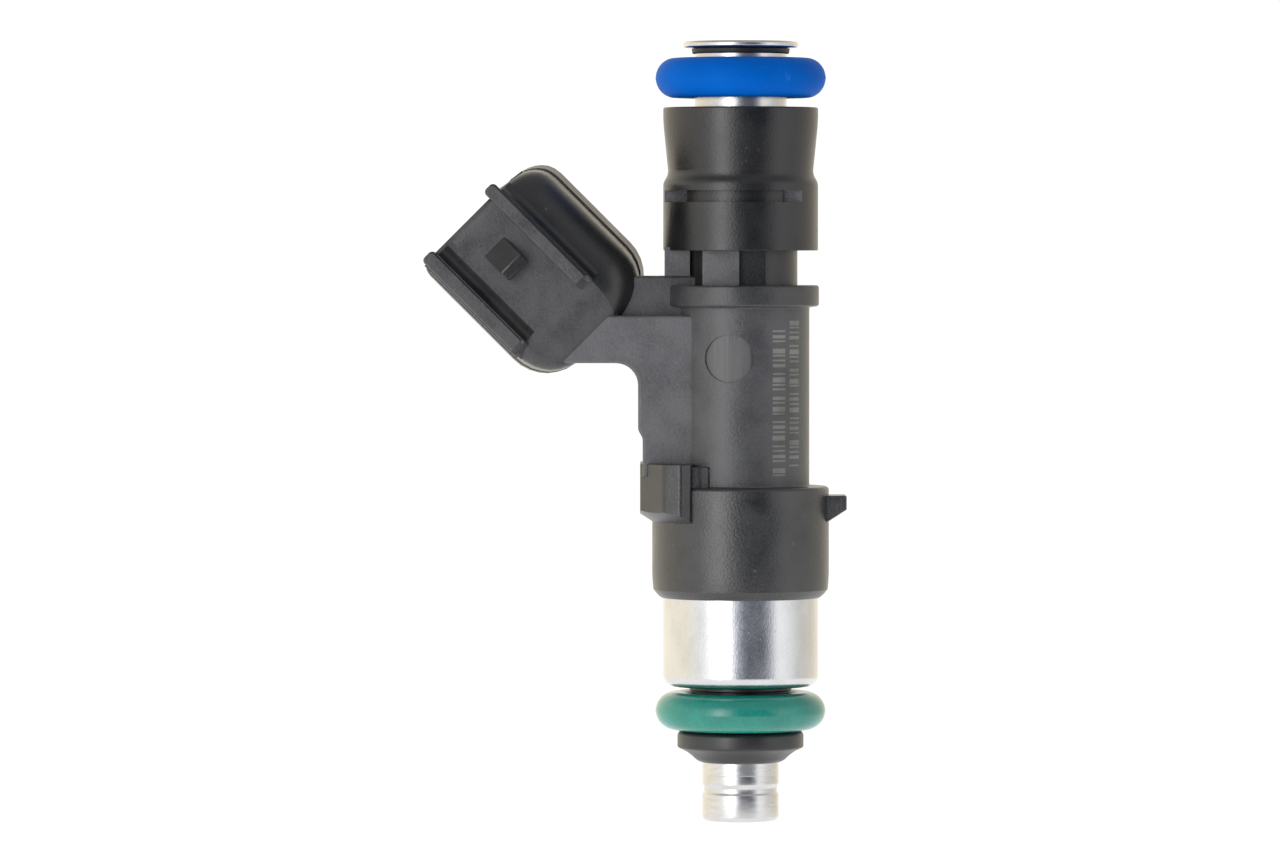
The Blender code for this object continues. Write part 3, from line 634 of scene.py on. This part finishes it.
def shroud_half(outline):
    """A rounded section drawn along the shroud, smaller towards both ends."""
    shape = drawn(outline, lambda u, v: (0, u, v), 10)
    ring_verts = shape.verts[:]
    ring_edges = shape.edges[:]
    was_along, was_below, was_above = 0.0, 0.0, 0.0
    for along, below, above in EASE:
        if along:
            grown = bmesh.ops.extrude_edge_only(shape, edges=ring_edges)["geom"]
            ring_verts = [item for item in grown if isinstance(item, bmesh.types.BMVert)]
            ring_edges = [item for item in grown if isinstance(item, bmesh.types.BMEdge)]
        was_width = 2 * HALF_WIDTH - was_below - was_above
        width = 2 * HALF_WIDTH - below - above
        was_depth = HALF_DEPTH - DEPTH_SHARE * was_below
        factor = (1, width / was_width, (HALF_DEPTH - DEPTH_SHARE * below) / was_depth)
        low_edge = Matrix.Translation((0, HALF_WIDTH - was_below, 0))
        bmesh.ops.scale(shape, verts=ring_verts, vec=factor, space=low_edge)
        bmesh.ops.translate(shape, verts=ring_verts, vec=(along - was_along, below - was_below, 0))
        was_along, was_below, was_above = along, below, above
    bmesh.ops.contextual_create(shape, geom=ring_edges)
    bmesh.ops.transform(shape, verts=shape.verts, matrix=SHROUD)
    bmesh.ops.recalc_face_normals(shape, faces=shape.faces)
    return shape


parts.append(tool("shroud_near", shroud_half([
    (-6.25, -HALF_DEPTH, 1.1), (6.05, -HALF_DEPTH, 3.4), (6.7, 0.5), (6.5, 3.0), (-6.3, 3.0), (-6.7, 0.5),
]), "shroud"))
parts.append(tool("shroud_far", shroud_half([
    (-6.8, 0.3, 0.05), (6.84, 0.3, 0.05), (7.25, 2.4), (7.25, HALF_DEPTH, 3.0), (-6.95, HALF_DEPTH, 3.0),
    (-6.95, 2.4),
]), "shroud"))

# two rails that guide the plug, their back ends sloped, the lower with a coved inner side and a ledge
# under it and the upper with a sloped foot
RAIL_RISE = 1.3
RAIL_ROOT = 0.8
RAIL_SLOPE = 0.75
front = -HALF_DEPTH
for name, low_v, high_v, start, end in (
    ("rail_lower", -6.33, -5.04, -0.35, 10.4), ("rail_upper", 1.45, 2.65, -0.75, 10.3),
):
    rail = slab([
        (start, low_v, 0.4), (end + 1.5, low_v), (end + 1.5, high_v), (start, high_v, 0.4),
    ], front - RAIL_RISE, front + RAIL_ROOT, LEVEL, 0.18)
    cut = bmesh.ops.bisect_plane(
        rail, geom=rail.verts[:] + rail.edges[:] + rail.faces[:], dist=1e-5,
        plane_co=(end, 0, front - RAIL_RISE), plane_no=(RAIL_RISE, 0, -RAIL_SLOPE), clear_outer=True,
    )
    cut_edges = [item for item in cut["geom_cut"] if isinstance(item, bmesh.types.BMEdge)]
    bmesh.ops.holes_fill(rail, edges=cut_edges)
    bmesh.ops.transform(rail, verts=rail.verts, matrix=SHROUD)
    bmesh.ops.recalc_face_normals(rail, faces=rail.faces)
    parts.append(tool(name, rail, "shroud"))
parts += [
    tool("rail_cove", slab([
        (-5.3, front - 1.2), (-5.0, front - 1.2), (-5.0, front - 0.02, 1.15), (-3.5, front - 0.02),
        (-3.5, front + 0.4), (-5.3, front + 0.4),
    ], 0.3, 10.7, ACROSS), "shroud"),
    tool("rail_foot", slab([
        (2.3, front - 1.02), (2.82, front - 1.02, 0.12), (3.15, front - 0.1, 0.3), (3.6, front + 0.12),
        (3.4, front + 0.6), (2.3, front + 0.4),
    ], 0.25, 11.0, ACROSS), "shroud"),
    tool("rail_ledge", slab([
        (-6.5, front - 0.35, 0.1), (-6.0, front - 0.35), (-6.0, front + 1.4), (-6.5, front + 1.4),
    ], 0.15, 11.2, ACROSS), "shroud"),
]

# lock ramp that the plug's latch rides over, and the socket
LOCK_OFFSET = -1.15
LOCK_HALF_WIDTH = 1.17
LOCK_RISE = 1.25
ramp_side = axes(mouth + across * LOCK_OFFSET, -outward, (0, 1, 0), across)
parts.append(tool("lock_ramp", slab([
    (3.0, front + 0.1), (5.2, front - LOCK_RISE, 0.1), (6.1, front - LOCK_RISE, 0.2), (6.1, front + 1),
    (3.0, front + 1),
], -LOCK_HALF_WIDTH, LOCK_HALF_WIDTH, ramp_side, 0.1), "smooth"))
cutters.append(tool("socket", slab([
    (-5.2, -4.0, 1.0), (4.8, -4.0, 2.8), (5.1, 4.03, 2.3), (-5.3, 4.05, 2.3),
], -2, 10.2, ACROSS), "smooth"))

# bores for the tube, the coil and the can
bore = tool("bore", turned([
    (0, 10), (6.71, 10), (6.71, 25.5), (3.35, 25.5), (3.35, 52.6), (4.01, 54.15), (4.01, 59.9),
    (4.3, 62), (0, 62),
], steps=96, phase=2 * CUTTER_TWIST), "smooth")

# everything is fused into one piece, and the tools are thrown away
for part in parts:
    fuse(moulding, part)
for part in cutters:
    fuse(moulding, part, "DIFFERENCE")
for part in pads:
    fuse(moulding, part)
fuse(moulding, bore, "DIFFERENCE")
fused = bpy.data.meshes.new_from_object(moulding.evaluated_get(bpy.context.evaluated_depsgraph_get()))
for item in list(scene.objects):
    if item.type == "MESH" and item.parent is None and item not in (floor, moulding):
        bpy.data.objects.remove(item)
moulding.modifiers.clear()
moulding.data = fused

# the fusing leaves a hole of a few short edges, which is filled
mended = bmesh.new()
mended.from_mesh(fused)
bmesh.ops.holes_fill(mended, edges=[edge for edge in mended.edges if edge.is_boundary], sides=12)
mended.to_mesh(fused)
mended.free()

# the shroud below its upper rail came from a spark-eroded part of the mould, so it is coarser and paler
# these flats take the strut's finish: the web's grain with the darker colour that is painted shade on the
# strut
fused.materials.append(moulded["strut"])
eroded = len(fused.materials) - 1
for face in fused.polygons:
    faces_front = face.normal.y < -0.3 and face.normal.dot(across) < 0.04
    if fused.materials[face.material_index] == moulded["shroud"] and faces_front:
        face.material_index = eroded
fused.set_sharp_from_angle(angle=math.radians(24))
stand_in(moulding, "overmould")

# Magnetic can. Deep-drawn bright steel cup round the coil, its upper half inside the
# moulding, its lower corner drawn to a radius.
CAN_WALL_R = 6.05
CAN_FLOOR = 0.8
SLEEVE_HOLE_R = 3.33
can_low, can_high = limits("housing_can")
shown(
    "housing_can",
    turned([
        (can_high.x, can_high.z),
        (can_high.x, can_low.z, 1.0),
        (SLEEVE_HOLE_R, can_low.z, 0.1),
        (SLEEVE_HOLE_R, can_low.z + CAN_FLOOR),
        (CAN_WALL_R, can_low.z + CAN_FLOOR, 0.5),
        (CAN_WALL_R, can_high.z),
    ]),
    surface(
        "bright_can_steel", (0.595, 0.6, 0.605), (0.695, 0.7, 0.71), (0.13, 0.24), metallic=1.0, patch=2.0,
        grain=0.14, depth=0.009, stretch=(1, 1, 0.6), wear=0.6, scuff=(0.62, 0.58, 0.5), scuff_size=0.55,
    ),
)

# Seal carrier. Black moulded ring pressed on the sleeve: a collar against the can, the
# green seal's groove, a lip and a dished taper down to the nozzle.
GROOVE_R = 3.85
GROOVE_BOTTOM = 7.2
GROOVE_TOP = 10.62
carrier_low, carrier_high = limits("seal_carrier")
shown(
    "seal_carrier",
    turned([
        (SLEEVE_HOLE_R, carrier_low.z),
        (3.75, 4.62, 0.3),
        (4.35, 5.3, 0.9),
        (carrier_high.x, 5.78, 0.12),
        (carrier_high.x, GROOVE_BOTTOM, 0.45),
        (GROOVE_R, GROOVE_BOTTOM, 0.1),
        (GROOVE_R, GROOVE_TOP),
        (4.36, GROOVE_TOP, 0.1),
        (4.36, carrier_high.z),
        (SLEEVE_HOLE_R, carrier_high.z),
    ]),
    surface(
        "carrier_plastic", (0.006, 0.006, 0.007), (0.02, 0.02, 0.022), (0.25, 0.4), ior=1.6, depth=0.003,
    ),
)

# Valve sleeve. Thin drawn steel tube from the nozzle tip up to the pole core, with one
# shallow crimped band and a lip turned in over the spray plate.
CRIMP_DEPTH = 0.13
LIP_R = 2.45
LIP_TOP = -0.04
SLEEVE_BORE_R = 2.87
sleeve_low, sleeve_high = limits("valve_sleeve")
sleeve_r = sleeve_high.x
shown(
    "valve_sleeve",
    turned([
        (LIP_R, sleeve_low.z, 0.04),
        (sleeve_r, sleeve_low.z, 0.4),
        (sleeve_r, 1.75, 0.1),
        (sleeve_r - CRIMP_DEPTH, 1.98, 0.1),
        (sleeve_r - CRIMP_DEPTH, 2.4, 0.1),
        (sleeve_r, 2.63, 0.1),
        (sleeve_r, 3.42),
        (sleeve_r - 0.015, 3.45),
        (sleeve_r, 3.48),
        (sleeve_r, sleeve_high.z),
        (SLEEVE_BORE_R, sleeve_high.z),
        (SLEEVE_BORE_R, LIP_TOP),
        (LIP_R, LIP_TOP),
    ]),
    tube_steel,
)

# Return spring. Coiled steel wire with its ends closed flat, between the adjusting sleeve and
# the armature, which shortens it as the valve lifts.
SPRING_R = 1.3
WIRE_R = 0.2
SPRING_COILS = 10
TURN_STEPS = 32
spring_low, spring_high = limits("return_spring")
closed_pitch = 2 * WIRE_R + 0.03
wire_low = spring_low.z + WIRE_R
open_pitch = (spring_high.z - WIRE_R - wire_low - 2 * closed_pitch) / (SPRING_COILS - 2)
wire = bmesh.new()
bmesh.ops.create_circle(wire, cap_ends=False, segments=12, radius=WIRE_R)
bmesh.ops.rotate(wire, verts=wire.verts, cent=(0, 0, 0), matrix=Matrix.Rotation(math.pi / 2, 3, "X"))
bmesh.ops.translate(wire, verts=wire.verts, vec=(SPRING_R, 0, wire_low))
wire_end = wire.verts[:] + wire.edges[:]
for coils, pitch in ((1, closed_pitch), (SPRING_COILS - 2, open_pitch), (1, closed_pitch)):
    wire_end = bmesh.ops.spin(
        wire, geom=wire_end, axis=(0, 0, 1), cent=(0, 0, 0), dvec=(0, 0, pitch / TURN_STEPS),
        steps=coils * TURN_STEPS, angle=coils * math.tau, use_merge=False,
    )["geom_last"]
bmesh.ops.holes_fill(wire, edges=[edge for edge in wire.edges if edge.is_boundary], sides=0)
bmesh.ops.recalc_face_normals(wire, faces=wire.faces)
spring_steel = surface(
    "spring_steel", (0.38, 0.38, 0.38), (0.5, 0.5, 0.49), (0.2, 0.34), metallic=1.0,
    patch=0.8, grain=0.04, depth=0.002,
)
return_spring = shown("return_spring", wire, spring_steel, sharp=50)
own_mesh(return_spring)

# Inner pieces, pressed or welded in place and hardly seen, with the CAD's own shapes: ground steel valve,
# seat and spray plate, soft iron core, washer and armature, plastic strainer cage and bobbin, woven
# strainer mesh, copper winding and the two tinned blades.
for material, nodes in (
    (surface(
        "ground_steel", (0.5, 0.49, 0.47), (0.62, 0.61, 0.59), (0.22, 0.36), metallic=1.0,
        patch=1.0, grain=0.05, depth=0.001,
    ), ("adjusting_sleeve", "valve_seat", "spray_plate", "needle_tube", "valve_ball")),
    (surface(
        "core_iron", (0.33, 0.33, 0.33), (0.45, 0.45, 0.44), (0.35, 0.5), metallic=1.0,
        patch=1.0, grain=0.08, depth=0.002,
    ), ("pole_core", "flux_washer", "armature")),
    (surface(
        "cage_plastic", (0.02, 0.02, 0.022), (0.05, 0.05, 0.052), (0.4, 0.55),
    ), ("filter_frame", "coil_bobbin")),
    (surface(
        "strainer_weave", (0.35, 0.36, 0.35), (0.6, 0.61, 0.6), (0.5, 0.7), grain=0.08, depth=0.02,
    ), ("filter_mesh",)),
    (surface(
        "copper_wire", (0.5, 0.17, 0.06), (0.7, 0.3, 0.13), (0.25, 0.4), metallic=1.0,
        grain=0.1, depth=0.02, stretch=(0.2, 0.2, 1),
    ), ("coil_winding",)),
    (surface(
        "tinned_brass", (0.62, 0.61, 0.58), (0.75, 0.74, 0.71), (0.25, 0.4), metallic=1.0,
        patch=1.5, grain=0.1, depth=0.002,
    ), ("terminal_a", "terminal_b")),
):
    for node in nodes:
        frame["nodes"][node].data.materials.clear()
        frame["nodes"][node].data.materials.append(material)
